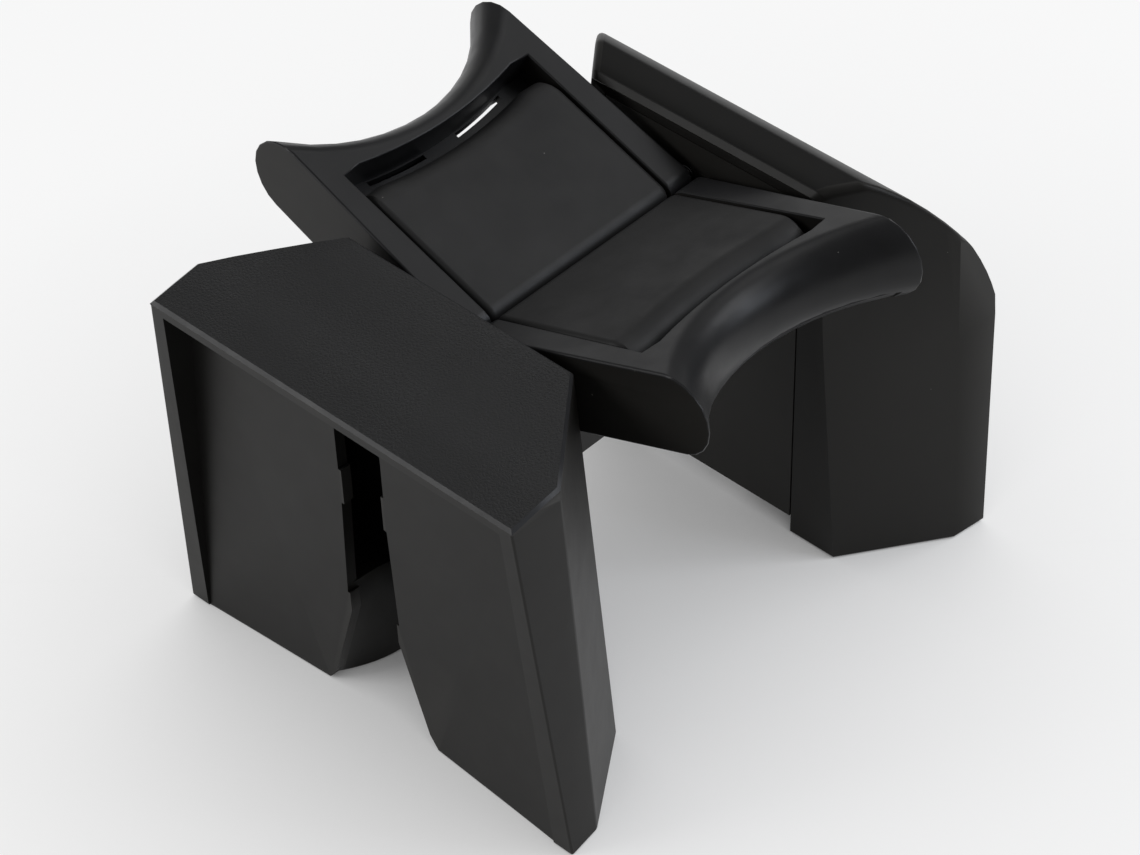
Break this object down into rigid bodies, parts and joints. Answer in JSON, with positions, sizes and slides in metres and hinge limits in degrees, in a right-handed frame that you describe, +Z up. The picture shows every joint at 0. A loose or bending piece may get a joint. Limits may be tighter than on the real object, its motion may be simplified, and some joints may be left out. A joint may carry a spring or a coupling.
{
  "type": "cup well divider",
  "caption": "Cup well divider insert: end blocks on slotted legs carry a bridge with sprung wings whose concave rims fold up and press on cups.",
  "frame": {"origin": "on the floor under the middle of the part's box", "axes": "+X from the left cup to the right cup, +Y from the near block to the far block, +Z up"},
  "size_m": [0.096, 0.1106, 0.0807],
  "materials": {
    "block_plastic": "black moulded plastic, fine leather grain on the near top, smooth panels",
    "wing_plastic": "black moulded plastic, satin",
    "pad_plastic": "black moulded plastic, matt",
    "pin_steel": "drawn steel",
    "spring_steel": "spring wire",
    "screw_steel": "black coated steel"
  },
  "bodies": {
    "base": {"near_end_block": "block_plastic", "far_end_block": "block_plastic", "near_inner_wall": "block_plastic", "far_inner_wall": "block_plastic", "bridge_beam": "block_plastic", "near_left_bridge_screw": "screw_steel", "near_right_bridge_screw": "screw_steel", "far_left_bridge_screw": "screw_steel", "far_right_bridge_screw": "screw_steel", "left_hinge_pin": "pin_steel", "right_hinge_pin": "pin_steel", "left_near_spring": "spring_steel", "left_far_spring": "spring_steel", "right_near_spring": "spring_steel", "right_far_spring": "spring_steel"},
    "left_wing": {"left_wing_frame": "wing_plastic", "left_wing_pad": "pad_plastic", "left_wing_base": "wing_plastic", "left_near_base_screw": "screw_steel", "left_far_base_screw": "screw_steel"},
    "right_wing": {"right_wing_frame": "wing_plastic", "right_wing_pad": "pad_plastic", "right_wing_base": "wing_plastic", "right_near_base_screw": "screw_steel", "right_far_base_screw": "screw_steel"}
  },
  "joints": [
    {"name": "left_wing_hinge", "type": "hinge", "parent": "base", "child": "left_wing", "pos_m": [-0.00265, 0.00105, 0.0647], "axis": [0, 1, 0], "range_deg": [0, 40], "stiffness_Nm_per_rad": 0.05, "springref_deg": -25.21, "deforming": ["left_near_spring", "left_far_spring"]},
    {"name": "right_wing_hinge", "type": "hinge", "parent": "base", "child": "right_wing", "pos_m": [0.00265, 0.00105, 0.0647], "axis": [0, -1, 0], "range_deg": [0, 40], "stiffness_Nm_per_rad": 0.05, "springref_deg": -25.21, "deforming": ["right_near_spring", "right_far_spring"]}
  ]
}
